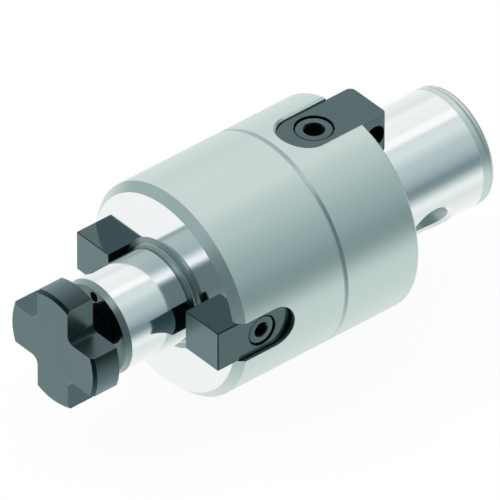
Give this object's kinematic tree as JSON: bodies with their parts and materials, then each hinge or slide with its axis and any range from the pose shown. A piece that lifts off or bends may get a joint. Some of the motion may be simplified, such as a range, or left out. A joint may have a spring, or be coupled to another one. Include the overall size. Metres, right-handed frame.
{
  "type": "shell mill arbor",
  "caption": "Shell mill arbor with a ground pilot, bolted drive keys, a cylindrical clamping spigot and a cross-slotted retention screw.",
  "frame": {"origin": "centre of the rear contact face, on the tool axis", "axes": "+X along the tool axis toward the cutter, +Z through the rear drive key, +Y through the right front drive key"},
  "size_m": [0.1116, 0.05, 0.05],
  "materials": {
    "ground_steel": "satin ground body with bright polished pilot, face and spigot",
    "black_oxide_key": "hardened steel, black oxide, satin",
    "black_oxide_screw": "black oxide, satin",
    "black_oxide_retention_screw": "black oxide, satin"
  },
  "bodies": {
    "arbor": {"arbor_body": "ground_steel", "front_drive_key_right": "black_oxide_key", "front_drive_key_left": "black_oxide_key", "front_key_screw_right": "black_oxide_screw", "front_key_screw_left": "black_oxide_screw", "rear_drive_key": "black_oxide_key", "rear_key_screw": "black_oxide_screw"},
    "screw_shank": {"retention_screw_shank": "black_oxide_retention_screw"},
    "screw_head": {"retention_screw_head": "black_oxide_retention_screw"}
  },
  "joints": [
    {"name": "screw_advance", "type": "slide", "parent": "arbor", "child": "screw_shank", "axis": [1, 0, 0], "range_m": [-0.00445, 0.0141]},
    {"name": "screw_turn", "type": "hinge", "parent": "screw_shank", "child": "screw_head", "pos_m": [0.0739, 0, 0], "axis": [1, 0, 0], "range_deg": [-1065, 3360]}
  ],
  "couplings": [
    {"joint": "screw_advance", "follows": "screw_turn", "m_per_rad": 0.00023873}
  ]
}
